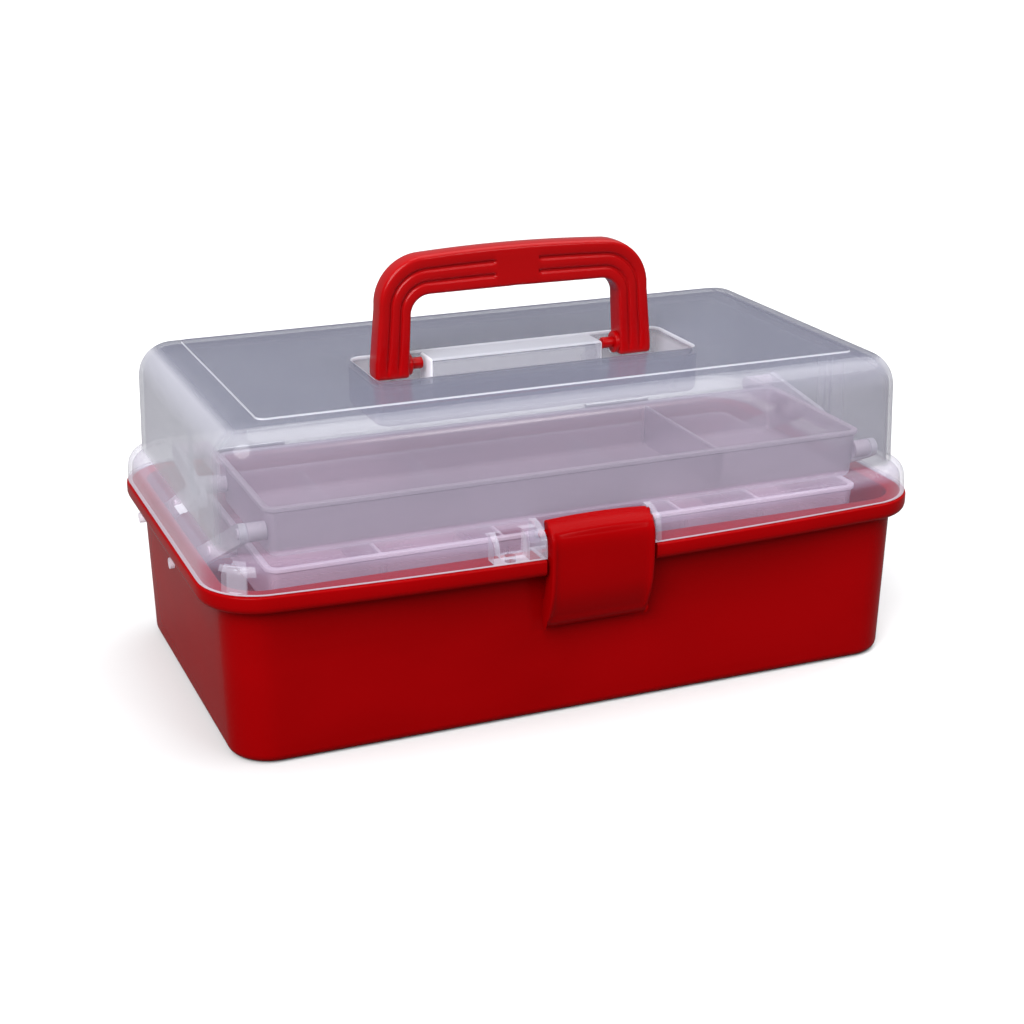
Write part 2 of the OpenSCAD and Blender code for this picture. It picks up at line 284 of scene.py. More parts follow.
class Finish:
    # one material and the nodes that it is made of
    def __init__(self, name, **constants):
        self.material = bpy.data.materials.new(name)
        self.material.use_nodes = True
        self.tree = self.material.node_tree
        self.shader = self.tree.nodes["Principled BSDF"]
        for socket, value in constants.items():
            self.shader.inputs[socket.replace("_", " ")].default_value = value

    def add(self, kind, settings=None, inputs=None, output=0):
        node = self.tree.nodes.new("ShaderNode" + kind)
        for key, value in (settings or {}).items():
            if key == "stops":
                while len(node.color_ramp.elements) < len(value):
                    node.color_ramp.elements.new(0.5)
                for element, (position, colour) in zip(node.color_ramp.elements, value):
                    element.position = position
                    element.color = colour
            else:
                setattr(node, key, value)
        for key, value in (inputs or {}).items():
            if isinstance(value, Wire):
                self.tree.links.new(value.socket, node.inputs[key])
            else:
                node.inputs[key].default_value = value
        return Wire(self.tree, node.outputs[output])

    def feed(self, **wires):
        for socket, wire in wires.items():
            self.tree.links.new(wire.socket, self.shader.inputs[socket.replace("_", " ")])

    def place(self, scale=(1, 1, 1)):
        coordinates = self.add("TexCoord", output=3)
        return self.add("Mapping", None, {"Vector": coordinates, "Scale": scale})

    def noise(self, place, scale, detail=3.0, roughness=0.5, distortion=0.0):
        return self.add("TexNoise", None, {
            "Vector": place, "Scale": scale, "Detail": detail,
            "Roughness": roughness, "Distortion": distortion})

    def ramp(self, value, low, high, lowValue=0.0, highValue=1.0):
        return self.add("MapRange", {"interpolation_type": "SMOOTHSTEP"}, {
            "Value": value, "From Min": low, "From Max": high,
            "To Min": lowValue, "To Max": highValue})

    def blendColours(self, factor, first, second):
        return self.add("Mix", {"data_type": "RGBA"}, {0: factor, 6: first, 7: second}, output=2)

    def bump(self, height, distance, strength=1.0, below=None):
        inputs = {"Height": height, "Distance": distance, "Strength": strength}
        if below:
            inputs["Normal"] = below
        return self.add("Bump", None, inputs)


redLook = {"colour": (0.265, 0.0003, 0.0011, 1), "deepColour": (0.235, 0.0002, 0.0008, 1),
           "level": 0.035, "roughness": 0.21, "grain": 900.0, "flow": 14.0}


def redPlastic(name, paintedLightTone=1.0, level=redLook["level"]):
    look = redLook
    finish = Finish(name, IOR=1.49, Specular_IOR_Level=level)
    place = finish.place()
    flow = finish.noise(finish.place((1, 1, 2.4)), look["flow"], 2.0, 0.45, 0.6)
    cloud = finish.noise(place, 9.0, 2.0)
    grain = finish.noise(place, look["grain"], 2.0, 0.6)
    scuff = finish.ramp(finish.noise(finish.place((1, 1, 8)), 140.0, 4.0, 0.7), 0.62, 0.78)
    mottle = finish.ramp(flow * 0.6 + cloud * 0.4, 0.3, 0.7)
    shades = [tuple(channel * paintedLightTone for channel in look[key][:3]) + (1,) for key in ("deepColour", "colour")]
    finish.feed(Base_Color=finish.blendColours(mottle, *shades),
                Roughness=look["roughness"] - 0.03 + flow * 0.05 + grain * 0.02 + scuff * 0.06,
                Normal=finish.bump(grain, 0.000008, 0.15, finish.bump(flow, 0.0006, 0.12)))
    return finish.material


milkyLooks = {
    "clear_lid": {"name": "clearLid", "film": (0.19, 0.188, 0.238, 1), "paintedShadeTopFilm": (0.092, 0.096, 0.145, 1),
                  "paintedRedBounceFilm": (0.26, 0.22, 0.32, 1), "white": (0.74, 0.74, 0.80, 1),
                  "milk": 0.38, "lowMilk": 0.11, "glance": 0.55, "round": 0.10, "paintedGlanceSheen": 1.0,
                  "split": (0.0905, 0.0935), "paintedShadeTop": (0.1385, 0.1412), "level": 0.42, "roughness": 0.14},
    # the clear trays' pink films are painted red reflection from the tub around them
    "clear_tray": {"name": "clearTray", "film": (0.60, 0.47, 0.59, 1), "paintedShadeTopFilm": (0.60, 0.47, 0.59, 1),
                   "paintedRedBounceFilm": (0.54, 0.33, 0.45, 1), "white": (0.76, 0.68, 0.77, 1),
                   "milk": 0.42, "lowMilk": 0.34, "glance": 0.20, "round": 0.0, "paintedGlanceSheen": 0.0,
                   "split": (0.066, 0.086), "paintedShadeTop": (0.2, 0.3), "level": 0.15, "roughness": 0.28},
    "clear_arm": {"name": "clearArm", "film": (0.74, 0.70, 0.78, 1), "paintedShadeTopFilm": (0.74, 0.70, 0.78, 1),
                  "paintedRedBounceFilm": (0.74, 0.66, 0.74, 1), "white": (0.84, 0.80, 0.86, 1),
                  "milk": 0.56, "lowMilk": 0.54, "glance": 0.30, "round": 0.0, "paintedGlanceSheen": 0.0,
                  "split": (0.060, 0.090), "paintedShadeTop": (0.2, 0.3), "level": 0.3, "roughness": 0.26},
}


def milkyPlastic(look):
    # thin translucent moulding: painted edge light makes it whiter along its edges, painted sheen whiter at a glancing
    # angle, painted red reflection pinker low down and painted shade darker on the lid's top
    finish = Finish(look["name"], IOR=1.46, Specular_IOR_Level=look["level"])
    place = finish.place()
    cloud = finish.noise(place, 20.0, 3.0, 0.55, 0.4)
    streak = finish.noise(finish.place((1, 1, 5)), 14.0, 2.0, 0.5, 1.2)
    grain = finish.noise(place, 700.0, 2.0, 0.6)
    facing = finish.add("LayerWeight", None, {"Blend": 0.30}, output=1)
    height = finish.add("SeparateXYZ", None, {"Vector": place}, output=2)
    slope = finish.add("SeparateXYZ", None, {"Vector": finish.add("NewGeometry", output=1)}, output=2)
    upper = finish.ramp(height, *look["split"])
    paintedShadeTop = finish.ramp(height, *look["paintedShadeTop"])
    rounded = finish.ramp(slope, 0.25, 0.6) * finish.ramp(slope, 0.85, 0.98, 1.0, 0.0)
    # marked faces turn whiter and more opaque: painted edge light along thin edges, milkier thick parts
    white = finish.add("Attribute", {"attribute_name": "white"}, output=2)
    milk = look["lowMilk"] + upper * (look["milk"] - look["lowMilk"]) + (cloud + streak - 1.0) * 0.05
    milk = milk + facing ** 1.5 * look["glance"] + rounded * look["round"]
    milk = milk * (1 - white) + white * 0.8
    shadow = finish.add("LightPath", output=1)  # light passes through milky plastic, so its shadow is pale
    # pinker film low down, where the parts sit by the red tub: painted red reflection
    film = finish.blendColours(upper, look["paintedRedBounceFilm"], look["film"])
    # whiter at a glancing angle: painted sheen
    film = finish.blendColours(facing ** 1.5 * look["paintedGlanceSheen"], film, look["white"])
    # darker film on the lid's top: painted shade
    film = finish.blendColours(paintedShadeTop, film, look["paintedShadeTopFilm"])
    film = finish.blendColours(white, film, look["white"])
    finish.feed(Base_Color=film,
                Alpha=milk * (1 - shadow * 0.75),
                Roughness=look["roughness"] - 0.03 + cloud * 0.06 + grain * 0.02,
                Normal=finish.bump(streak, 0.0003, 0.03))
    return finish.material


def pinSteel():
    finish = Finish("pinSteel", Metallic=1.0, IOR=2.5)
    drawn = finish.noise(finish.place((30, 1, 1)), 60.0, 3.0)
    tarnish = finish.noise(finish.place(), 160.0, 3.0)
    finish.feed(Base_Color=finish.blendColours(tarnish, (0.62, 0.62, 0.64, 1), (0.78, 0.78, 0.80, 1)),
                Roughness=0.26 + drawn * 0.16,
                Normal=finish.bump(drawn, 0.00004, 0.4))
    return finish.material


looks = {"red_plastic": redPlastic("redPlastic"), "pin_steel": pinSteel()}
for slot, look in milkyLooks.items():
    looks[slot] = milkyPlastic(look)


def markMilkAndPaintedSheen(piece, zones):
    # faces whose middle lies between two corners are marked whiter and more opaque: painted edge light along thin
    # edges, and milkier thick parts
    layer = piece.data.attributes.new("white", "FLOAT", "FACE")
    for face in piece.data.polygons:
        spot = face.center / mm
        for low, high, amount in zones:
            if all(a <= value <= b for a, value, b in zip(low, spot, high)):
                layer.data[face.index].value = amount


def finishPiece(piece, slot, body, *replaced, angle=32):
    smooth(piece, angle)
    piece.data.materials.clear()
    piece.data.materials.append(looks[slot])
    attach(piece, body)
    if replaced:
        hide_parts(*replaced)
    deselectAll()


tub = {"baseLength": 312.6, "baseDepth": 170.6, "length": 316, "depth": 173, "corner": 19, "wall": 2.2,
       "floor": 2.4, "foot": 4.0, "floorRound": 8.0, "rimLength": 331.4, "rimDepth": 186.4,
       "rimCorner": 27.2, "bulge": 5.5, "rimTop": 77.3, "rimHeight": 7.8, "latchGap": 25.5,
       "latchSeat": -88.8, "pinHole": 2.55, "pinPlaces": ((12.9, 56), (76.5, 56)),
       "eye": (-40, -93.4, 2.4)}
hinge = {"y": 97.5, "z": 77.45, "radius": 4.0, "pin": 1.55, "x": 100, "width": 12, "gap": 0.3}


def tubRings():
    t = tub
    low = ring(t["baseLength"], t["baseDepth"], t["corner"] - 0.6, t["foot"])
    lowIn = ring(low[0] - 2 * t["foot"], low[1] - 2 * t["foot"], t["corner"] - 4, 0)
    high = ring(t["length"], t["depth"], t["corner"], t["rimTop"] - 11)
    rim = ring(t["rimLength"], t["rimDepth"], t["rimCorner"], t["rimTop"] - t["rimHeight"] + 3.2, t["bulge"])
    under = ring(rim[0] - 5.0, rim[1] - 5.0, t["rimCorner"] - 2.5, t["rimTop"] - t["rimHeight"], t["bulge"] * 0.8)
    fillet = ring(high[0] + 3, high[1] + 3, t["corner"] + 1.5, t["rimTop"] - t["rimHeight"], t["bulge"] * 0.15)
    wallIn = [t["length"] - 2 * t["wall"], t["depth"] - 2 * t["wall"], t["corner"] - t["wall"]]
    lowWall = [low[0] - 2 * t["wall"], low[1] - 2 * t["wall"], low[2] - t["wall"]]
    rings = [ring(low[0] - 40, low[1] - 40, 6, 0.9), ring(low[0] - 22, low[1] - 22, 10, 0.9),
             ring(low[0] - 20, low[1] - 20, 11, 0), lowIn]
    rings += bend(lowIn, low, 6, True)
    rings += [ring(*[a + (b - a) * s for a, b in zip(low[:4], high[:4])]) for s in (0.33, 0.66, 1)]
    rings += bend(high, fillet, 4, False)
    rings += [under]
    rings += bend(under, rim, 6, True)
    topOut = ring(rim[0], rim[1], rim[2], t["rimTop"] - 0.9, t["bulge"])
    topIn = ring(rim[0] - 1.8, rim[1] - 1.8, rim[2] - 0.9, t["rimTop"], t["bulge"])
    rings += [topOut] + bend(topOut, topIn, 3, False)
    lipOut = ring(wallIn[0] + 2, wallIn[1] + 2, wallIn[2] + 1, t["rimTop"])
    lipIn = ring(wallIn[0], wallIn[1], wallIn[2], t["rimTop"] - 1)
    rings += [lipOut] + bend(lipOut, lipIn, 3, True)
    deep = ring(lowWall[0], lowWall[1], lowWall[2], t["floor"] + t["floorRound"])
    floor = ring(deep[0] - 2 * t["floorRound"], deep[1] - 2 * t["floorRound"], 9, t["floor"])
    rings += [deep] + bend(deep, floor, 5, False)
    return rings


def knuckle(name, x, up):
    h = hinge
    half = h["width"] / 2
    barrel = rod(name, x - half, x + half, h["y"], h["z"], h["radius"], 0.5, 40)
    if up:
        web = block(name + "Web", (x - half, h["y"] - 6.5, h["z"] + 0.6), (x + half, h["y"] - 0.5, h["z"] + 3.9), 0.5)
    else:
        web = block(name + "Web", (x - half, h["y"] - 7, h["z"] - 7.5), (x + half, h["y"] - 0.5, h["z"] - 0.3), 0.5)
    fuse(barrel, web)
    return cut(barrel, rod("bore", x - half - 1, x + half + 1, h["y"], h["z"], h["pin"], 0, 32))


def buildTub():
    t = tub
    piece = shellLoft("tubShell", tubRings())
    gap = t["latchGap"]
    cut(piece, block("notch", (-gap, -120, t["rimTop"] - 12), (gap, t["latchSeat"], t["rimTop"] + 4)))
    deselectAll()
    eye = t["eye"]
    bpy.ops.mesh.primitive_cylinder_add(vertices=32, radius=eye[2] * mm, depth=0.03,
                                        location=(eye[0] * mm, eye[1] * mm, t["rimTop"] * mm))
    cut(piece, bakePlace(bpy.context.object, "eyeHole"))
    for y, z in t["pinPlaces"]:
        for side in (-1, 1):
            cut(piece, rod("pinHole", side * 150, side * 170, y, z, t["pinHole"], 0, 32))
    step = hinge["width"] + hinge["gap"]
    for side in (-1, 1):
        for end in (-1, 1):
            fuse(piece, knuckle("tubKnuckle", side * hinge["x"] + end * step, False))
    finishPiece(piece, "red_plastic", "base", "base_tub")


buildTub()
print("tub made")

lid = {"length": 314.8, "depth": 167.6, "corner": 16.1, "topLength": 313.4, "topDepth": 165.8,
       "base": 77.6, "shoulder": 91.6, "skirtTop": 84.0, "edge": 15.2, "top": 142.0,
       "wall": 1.9, "skirtLength": 330, "skirtDepth": 185, "skirtCorner": 26.5,
       "panelLength": 275, "panelDepth": 135.4, "panelRise": 0.8,
       "notchHalf": 25, "pocketHalf": 75, "pocketFront": -35, "pocketBack": 7, "pocketDepth": 17.7,
       "stepFront": -6.5, "lugInner": 42, "lugOuter": 49.2, "lugRadius": 6.0, "pinBore": 2.65,
       "strapTurn": -129, "strapWidth": 5.6}
pivots = {"handle": (-0.3, 139.3), "latch": (-93, 87.4), "latchBore": 1.65,
          "linkLid": (-21, 97), "linkRadius": 4.6, "linkPin": 2.2, "linkPlane": 149.4, "linkThick": 2.4}


def lidRings(inset):
    # outer skin for inset 0, hollow for inset equal to the wall
    g = lid
    def shrunk(width, depth, corner, height, bulge=0.0):
        return ring(width - 2 * inset, depth - 2 * inset, corner - inset, height, bulge)
    base = g["base"] - (1.0 if inset else 0.0)
    skirtLow = shrunk(g["skirtLength"], g["skirtDepth"], g["skirtCorner"], base, tub["bulge"])
    skirt = shrunk(g["skirtLength"] - 0.6, g["skirtDepth"] - 0.6, g["skirtCorner"],
                   g["skirtTop"] - inset * 0.4, tub["bulge"])
    fold = shrunk(g["length"] + 1.6, g["depth"] + 1.6, g["corner"] + 0.8, g["shoulder"] - inset)
    wallLow = shrunk(g["length"], g["depth"], g["corner"], g["shoulder"] + 0.8 - inset)
    wallHigh = shrunk(g["topLength"], g["topDepth"], g["corner"] + 0.4, g["top"] - g["edge"])
    topEnd = shrunk(g["topLength"] - 2 * g["edge"], g["topDepth"] - 2 * g["edge"],
                    g["corner"] - g["edge"] + 1, g["top"] - inset)
    if inset:
        topEnd = ring(wallHigh[0] - 2 * (g["edge"] - inset), wallHigh[1] - 2 * (g["edge"] - inset), 3, g["top"] - inset)
        rings = [skirtLow, skirt]
    else:
        rim = ring(skirtLow[0] - 1, skirtLow[1] - 1, skirtLow[2] - 0.5, base, tub["bulge"])
        rings = [rim] + bend(rim, ring(*skirtLow[:3], base + 0.5, tub["bulge"]), 2, True)
        rings += [ring(*skirtLow[:3], base + 0.9, tub["bulge"]), skirt]
    rings += bend(skirt, fold, 8, False)
    rings += bend(fold, wallLow, 3, True)
    rings += [wallHigh] + bend(wallHigh, topEnd, 12, False)
    if not inset:
        low = ring(g["panelLength"], g["panelDepth"], 4, g["top"])
        high = ring(g["panelLength"] - 1.2, g["panelDepth"] - 1.2, 3.4, g["top"] + g["panelRise"])
        rings = rings[:-1]
        rings += bend(ring(*low[:3], g["top"] - 0.02), high, 3, True)
        rings += [ring(200, 80, 3, g["top"] + g["panelRise"])]
    return rings


def pocketLoft(name, grow, openTop):
    g = lid
    width = 2 * (g["pocketHalf"] + grow)
    depth = g["pocketBack"] - g["pocketFront"] + 2 * grow
    shift = (g["pocketBack"] + g["pocketFront"]) / 2
    low = g["top"] - g["pocketDepth"] - grow
    soft = 3.0
    rings = [ring(width - 2 * soft, depth - 2 * soft, 4, low, 0, shift)]
    rings += bend(rings[0], ring(width, depth, 5 + grow, low + soft, 0, shift), 5, True)
    if openTop:
        neck = ring(width, depth, 5, g["top"] - 0.4, 0, shift)
        mouth = ring(width + 2.4, depth + 2.4, 6.2, g["top"] + g["panelRise"] + 0.02, 0, shift)
        rings += [neck] + bend(neck, mouth, 4, False) + [ring(width + 2.4, depth + 2.4, 6.2, g["top"] + 4, 0, shift)]
    else:
        rings += [ring(width, depth, 5 + grow, g["top"] - 0.5, 0, shift)]
    return shellLoft(name, rings, (8, 6, 24))


def cornerStrap():
    # narrow upright strap inside the skirt's left front corner
    g = lid
    turn = math.radians(g["strapTurn"])
    reach = g["skirtCorner"] - g["wall"] - 0.2
    strap = block("strap", (-0.45, -g["strapWidth"] / 2, g["base"] + 0.3),
                  (0.45, g["strapWidth"] / 2, g["shoulder"] - 2.4), 0.3, 2)
    strap.rotation_euler.z = turn
    strap.location = ((g["skirtCorner"] - g["skirtLength"] / 2 + reach * math.cos(turn)) * mm,
                      (g["skirtCorner"] - g["skirtDepth"] / 2 + reach * math.sin(turn)) * mm, 0)
    return bakePlace(strap, "strap")


def buildLid():
    g = lid
    wall = g["wall"]
    front = -g["depth"] / 2
    floor = g["top"] - g["pocketDepth"]
    half = g["notchHalf"]
    piece = shellLoft("lidShell", lidRings(0))
    hollow = shellLoft("lidHollow", lidRings(wall))
    # what stays solid round the latch notch, the padlock eye and the handle pocket
    cut(hollow,
        block("keepNotch", (-half - wall, -120, 70), (half + wall, front + wall, g["shoulder"] - 0.2)),
        block("keepEye", (-46 - wall, -120, 70), (-34 + wall, -88.7, g["shoulder"] + 0.1)),
        pocketLoft("keepPocket", wall, False))
    cut(piece, hollow)
    cut(piece, block("notch", (-half, -120, 70), (half, front - 0.4, g["shoulder"] + 4)))
    cut(piece, block("eyeRecess", (-46, -120, g["base"] + 2.4), (-34, -90.5, g["shoulder"] + 3), 1.2))
    deselectAll()
    bpy.ops.mesh.primitive_cylinder_add(vertices=24, radius=tub["eye"][2] * mm, depth=0.02,
                                        location=(tub["eye"][0] * mm, tub["eye"][1] * mm, (g["base"] - 2) * mm))
    cut(piece, bakePlace(bpy.context.object, "eyeHole"))
    pocket = pocketLoft("pocket", 0, True)
    cut(pocket, block("step", (-g["lugInner"], g["stepFront"], floor - 5),
                      (g["lugInner"], 30, g["top"]), 1.5, 4))
    cut(piece, pocket)
    core = g["lugInner"] - wall
    cut(piece, block("stepCore", (-core, g["stepFront"] + wall, floor - 5),
                     (core, g["pocketBack"] + wall + 1, g["top"] - wall), 1.0))
    y, z = pivots["handle"]
    for side in (-1, 1):
        lug = rod("lug", side * (g["lugInner"] - 1), side * g["lugOuter"], y, z, g["lugRadius"], 0.8, 40)
        near, far = sorted((side * (g["lugInner"] - 1), side * g["lugOuter"]))
        post = block("lugPost", (near, y - g["lugRadius"], floor - 0.5), (far, y + g["lugRadius"], z), 0.8)
        fuse(lug, post)
        cut(lug, rod("bore", side * (g["lugInner"] + 1.5), side * (g["lugOuter"] + 2), y, z, g["pinBore"]))
        fuse(piece, lug)
        cut(piece, rod("latchBore", side * (half - 1), side * (half + 4), *pivots["latch"], pivots["latchBore"], 0, 20))
        inner = g["length"] / 2 - wall
        bossY, bossZ = pivots["linkLid"]
        boss = rod("boss", side * (pivots["linkPlane"] + pivots["linkThick"] + 0.3), side * (inner + 0.8),
                   bossY, bossZ, pivots["linkRadius"], 0.5)
        fuse(boss, rod("bossPin", side * (pivots["linkPlane"] - 0.2), side * inner,
                       bossY, bossZ, pivots["linkPin"], 0.3))
        for ribY in (bossY - 3, bossY + 1.8):
            low, high = sorted((side * (inner - 1.6), side * (inner + 0.8)))
            fuse(boss, block("rib", (low, ribY, bossZ + 2), (high, ribY + 1.2, g["top"] - g["edge"]), 0.4))
        fuse(piece, boss)
        fuse(piece, knuckle("lidKnuckle", side * hinge["x"], True))
    fuse(piece, cornerStrap())
    finishPiece(piece, "clear_lid", "lid", "lid_cover")
    wide, deep, top = 200, 120, g["top"] + g["panelRise"]
    # painted edge light along the lid's bottom edge, panel outline, pocket, notch, eye and corner strap; milkier thick
    # lugs, bosses, ribs and knuckles
    markMilkAndPaintedSheen(piece, [
        ((-wide, -deep, g["base"] - 1), (wide, deep, g["base"] + 0.95), 0.6),
        ((-wide, -deep, g["top"] + 0.01), (wide, deep, top - 0.01), 0.7),
        ((-80, -40, floor - 1), (80, 10, g["top"] - 2), 0.25),
        ((-80, -40, g["top"] - 1.2), (80, 12, top - 0.02), 0.55),
        ((-80, -40, floor - 2.5), (80, 10, floor + 3), 0.35),
        ((-g["lugOuter"] - 1, y - 7, floor), (-g["lugInner"] + 1, y + 7, g["top"] + 4), 1.0),
        ((g["lugInner"] - 1, y - 7, floor), (g["lugOuter"] + 1, y + 7, g["top"] + 4), 1.0),
        ((-half - 2.2, -120, g["base"]), (-half + 0.3, front - 1, g["shoulder"] + 0.5), 0.3),
        ((half - 0.3, -120, g["base"]), (half + 2.2, front - 1, g["shoulder"] + 0.5), 0.3),
        ((-47.9, -120, g["base"] + 1), (-45.8, -88, g["shoulder"] + 0.5), 0.35),
        ((-34.2, -120, g["base"] + 1), (-32, -88, g["shoulder"] + 0.5), 0.35),
        ((-46, -120, g["base"] + 1), (-34, -90.4, g["base"] + 3.2), 0.3),
        ((-wide, bossY - 6, bossZ - 6), (4 - inner, bossY + 6, bossZ + 6), 0.7),
        ((inner - 4, bossY - 6, bossZ - 6), (wide, bossY + 6, bossZ + 6), 0.7),
        ((-inner - 0.5, bossY - 3.5, bossZ + 4), (2 - inner, bossY + 3.5, g["top"] - g["edge"]), 0.45),
        ((inner - 2, bossY - 3.5, bossZ + 4), (inner + 0.5, bossY + 3.5, g["top"] - g["edge"]), 0.45),
        ((-110, hinge["y"] - 4.5, 70), (110, deep, g["shoulder"]), 0.6),
        ((-158, -90, g["base"] + 0.5), (-148, -80, g["shoulder"] - 2.2), 0.35)])


buildLid()
print("lid made")

handle = {"foot": 67.0, "inner": 51.4, "top": 189.6, "grip": 18.2, "crown": 1.3, "thick": 11.5,
          "outerRound": 22.0, "innerRound": 9.0, "edge": 1.9, "innerEdge": 1.3,
          "footDrop": 5.3, "footEdge": 2.0, "paintedLightTone": 1.3, "level": 0.16, "groove": 1.7, "grooveDepth": 0.9,
          "groovePlaces": (0.31, 0.64), "labelHalf": 11.0}


def handleStations():
    # pairs of inner and outer points from one foot round to the other
    h = handle
    pivotZ = pivots["handle"][1]
    outerX, innerX = h["foot"] - 2.4, h["inner"] - 1.1
    outerZ, innerZ = h["top"] - h["crown"], h["top"] - h["grip"] - 0.4
    half = []
    for step in range(5):
        share = step / 4
        z = pivotZ + share * (innerZ - h["innerRound"] - 1 - pivotZ)
        half.append(((h["inner"] - 1.1 * share, z), (h["foot"] - 2.4 * share, z + share * 3.5), 1.0))
    for step in range(1, 15):
        turn = math.pi / 2 * step / 14
        inside = (innerX - h["innerRound"] + h["innerRound"] * math.cos(turn),
                  innerZ - h["innerRound"] + h["innerRound"] * math.sin(turn))
        outside = (outerX - h["outerRound"] + h["outerRound"] * math.cos(turn),
                   outerZ - h["outerRound"] + h["outerRound"] * math.sin(turn))
        half.append((inside, outside, 1.0))
    lastIn, lastOut = half[-1][0][0], half[-1][1][0]
    for share in (0.15, 0.3, 0.45, 0.6, 0.68, 0.715, 0.74, 0.76, 0.78, 0.9):
        crown = h["crown"] * (1 - (1 - share) ** 2)
        x = lastOut * (1 - share)
        grooved = 1.0 if x > h["labelHalf"] else 0.0
        half.append(((lastIn * (1 - share), innerZ + 0.3 * share), (x, outerZ + crown), grooved))
    middle = [((0.0, innerZ + 0.4), (0.0, h["top"]), 0.0)]
    other = [((-a[0], a[1]), (-b[0], b[1]), g) for a, b, g in reversed(half)]
    return half + middle + other


def handleSection():
    # share across the leg, side of the grip, depth of a groove there
    h = handle
    width = 15.5

    def corner(size):
        # quarter round from the face to the outer side, as shares of the leg's width and thickness
        return [(1 - size / width * (1 - math.sin(turn)), -1 + size / (h["thick"] / 2) * (1 - math.cos(turn)), 0)
                for turn in (math.pi / 12 * step for step in range(7))]

    points = corner(h["edge"])
    points += [(1.008, -0.2, 0), (1.008, 0.2, 0)]
    points += [(u, -v, 0) for u, v, _ in reversed(corner(h["edge"]))]
    rounded = [(u, -v, 0) for u, v, _ in reversed(corner(h["innerEdge"]))]
    half = h["groove"] / width / 2
    face = []
    for place in reversed(h["groovePlaces"]):
        for offset, depth in ((1.5, 0), (0.9, 0.25), (0.45, 0.9), (0, 1), (-0.45, 0.9), (-0.9, 0.25), (-1.5, 0)):
            face.append((place + half * offset, 1, depth))
    points += face
    inner = [(1 - u, v, 0) for u, v, _ in reversed(rounded)]
    points += inner + [(0, 0.2, 0), (0, -0.2, 0)]
    points += [(u, -v, 0) for u, v, _ in reversed(inner)]
    points += [(u, -1, depth) for u, v, depth in reversed(face)]
    return points


def buildHandle():
    h = handle
    y, z = pivots["handle"]
    half = h["thick"] / 2
    section = handleSection()
    stations = handleStations()
    foot = []
    straight = h["footDrop"] - h["footEdge"]
    for drop in (straight / 2, straight):
        foot.append(((h["inner"], z - drop), (h["foot"], z - drop), max(0.0, 1 - drop / straight), 1.0))
    for step in range(1, 6):
        turn = math.pi / 2 * step / 5
        back = h["footEdge"] * (1 - math.cos(turn))
        low = z - straight - h["footEdge"] * math.sin(turn)
        foot.append(((h["inner"] + back * 0.4, low), (h["foot"] - back * 0.4, low), 0.0, 1 - back / half))
    before = [f for f in reversed(foot)]
    after = [((-a[0], a[1]), (-b[0], b[1]), g, thin) for a, b, g, thin in foot]
    rings = before + [(a, b, g, 1.0) for a, b, g in stations] + after

    def pointOf(index, ringData):
        inside, outside, groove, thin = ringData
        u, v, depth = section[index]
        x = inside[0] + (outside[0] - inside[0]) * u
        height = inside[1] + (outside[1] - inside[1]) * u
        across = v * half * thin - math.copysign(depth * groove * h["grooveDepth"], v)
        return Vector((x * mm, (y + across) * mm, height * mm))

    piece = loft("handleGrip", rings, pointOf, len(section))
    for side in (-1, 1):
        root = side * (h["inner"] + 1)
        stub = rod("stub", side * (lid["lugOuter"] + 0.3), root, y, z, 5.0, 0.4, 48)
        piece = joinPieces([piece, stub, rod("stubPin", side * (lid["lugInner"] + 2), root, y, z, 2.6, 0.3, 32)])
    finishPiece(piece, "red_plastic", "handle", "carry_handle", angle=40)
    # the handle is the tub's plastic, painted 1.3 times brighter as painted light on its rounder, better lit faces
    piece.data.materials[0] = redPlastic("handleRedPaintedLit", h["paintedLightTone"], h["level"])


buildHandle()
print("handle made")

latch = {"width": 47.4, "cheek": 2.6, "edge": 0.9, "rim": 1.6, "dish": 0.45, "crown": 0.9, "lipHalf": 12,
         "side": ((-89.9, 92.3), (-91.5, 91.9), (-95.2, 90.6), (-97.2, 89.3), (-98.6, 87.9), (-99.8, 85.8),
                  (-100.4, 82.5), (-100.4, 76), (-100.2, 68), (-99.3, 60), (-96.9, 53), (-93.7, 46.6),
                  (-91.2, 43.6), (-89.6, 43.8), (-88.6, 45.6), (-88.6, 54), (-92.2, 61.7), (-92.4, 80), (-91.2, 87)),
         "hollow": ((-97.3, 83), (-97.3, 68), (-96.4, 60.6), (-94.1, 54.2), (-91, 48), (-87, 40), (-80, 40), (-80, 83))}


def softOutline(points, rounds=2):
    # cutting every corner turns a few chosen points into a soft closed outline
    for _ in range(rounds):
        softer = []
        for a, b in zip(points, points[1:] + points[:1]):
            softer += [tuple(p * 0.75 + q * 0.25 for p, q in zip(a, b)),
                       tuple(p * 0.25 + q * 0.75 for p, q in zip(a, b))]
        points = softer
    return points


def prism(name, outline, stations, crown=0.0):
    # a side view in Y and Z carried along X through (x, inset, dish) stations
    total = len(outline)
    reach = max(abs(station[0]) for station in stations)
    middleY = sum(p[0] for p in outline) / total

    def pointOf(index, station):
        x, inset, dish = station
        (y0, z0), (y1, z1) = outline[index - 1], outline[(index + 1) % total]
        inward = Vector((z0 - z1, y1 - y0)).normalized()
        if (middleY - outline[index][0]) * inward.x < 0 and abs(inward.x) > 0.3:
            inward = -inward
        y, z = outline[index]
        sink = inset + dish * max(0.0, inward.x) ** 2
        arch = crown * (1 - (x / reach) ** 2) if z > pivots["latch"][1] else 0.0
        return Vector((x * mm, (y + inward.x * sink) * mm, (z + inward.y * sink + arch) * mm))

    return loft(name, stations, pointOf, total)


